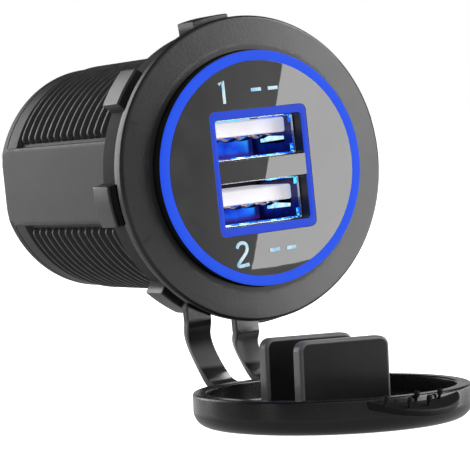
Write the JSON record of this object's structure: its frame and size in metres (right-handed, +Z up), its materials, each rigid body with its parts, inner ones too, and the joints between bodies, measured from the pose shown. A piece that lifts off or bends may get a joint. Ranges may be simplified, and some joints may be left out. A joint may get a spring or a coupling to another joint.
{
  "type": "dual USB charging socket",
  "caption": "Round panel-mount vehicle charging socket with stacked USB ports, a blue light ring, a threaded barrel with a ring nut, rear blade terminals and a tethered rubber dust cap.",
  "frame": {"origin": "on the barrel's axis in the panel seat plane, where the rubber ring's rear face meets the panel", "axes": "+Y along the barrel's axis towards the terminals, -Y out of the front face with the ports, +Z up, +X to the right as the front is seen"},
  "size_m": [0.038, 0.0822, 0.0494],
  "materials": {
    "housing_plastic": "moulded, fine satin grain",
    "nut_plastic": "moulded, satin",
    "cap_rubber": "smooth moulded rubber",
    "bezel_plastic": "glossy",
    "light_guide_plastic": "clear plastic lit blue",
    "label_film": "smooth printed film",
    "shell_steel": "nickel plated sheet",
    "tongue_plastic": "white moulded plastic",
    "contact_metal": "gilded strip",
    "board_laminate": "green solder mask",
    "lamp_plastic": "blue lamp body",
    "ferrite": "sintered, dull",
    "copper_wire": "enamelled copper wire",
    "can_aluminium": "bare can",
    "chip_resin": "moulded resin",
    "terminal_metal": "tinned blade"
  },
  "bodies": {
    "socket": {"housing": "housing_plastic", "ring_nut": "nut_plastic", "cap_ring": "cap_rubber", "front_bezel": "bezel_plastic", "light_guide": "light_guide_plastic", "face_label": "label_film", "usb_shell_upper": "shell_steel", "usb_shell_lower": "shell_steel", "usb_tongue_upper": "tongue_plastic", "usb_tongue_lower": "tongue_plastic", "usb_contacts_upper": "contact_metal", "usb_contacts_lower": "contact_metal", "circuit_board": "board_laminate", "blue_leds": "lamp_plastic", "inductor_core": "ferrite", "inductor_winding": "copper_wire", "capacitors": "can_aluminium", "control_chips": "chip_resin", "positive_terminal": "terminal_metal", "negative_terminal": "terminal_metal", "rear_cover": "housing_plastic"},
    "straps": {"cap_straps": "cap_rubber"},
    "cap": {"dust_cap": "cap_rubber"}
  },
  "joints": [
    {"name": "cap_press", "type": "slide", "parent": "socket", "child": "straps", "axis": [0, 1, 0], "range_m": [0, 0.00726], "stiffness_N_per_m": 20, "deforming": ["cap_straps"]},
    {"name": "cap_swing", "type": "hinge", "parent": "straps", "child": "cap", "pos_m": [-0.00109, -0.00106, -0.01596], "axis": [0.9977, 0, -0.0684], "range_deg": [-90, 30], "stiffness_Nm_per_rad": 0.03}
  ]
}
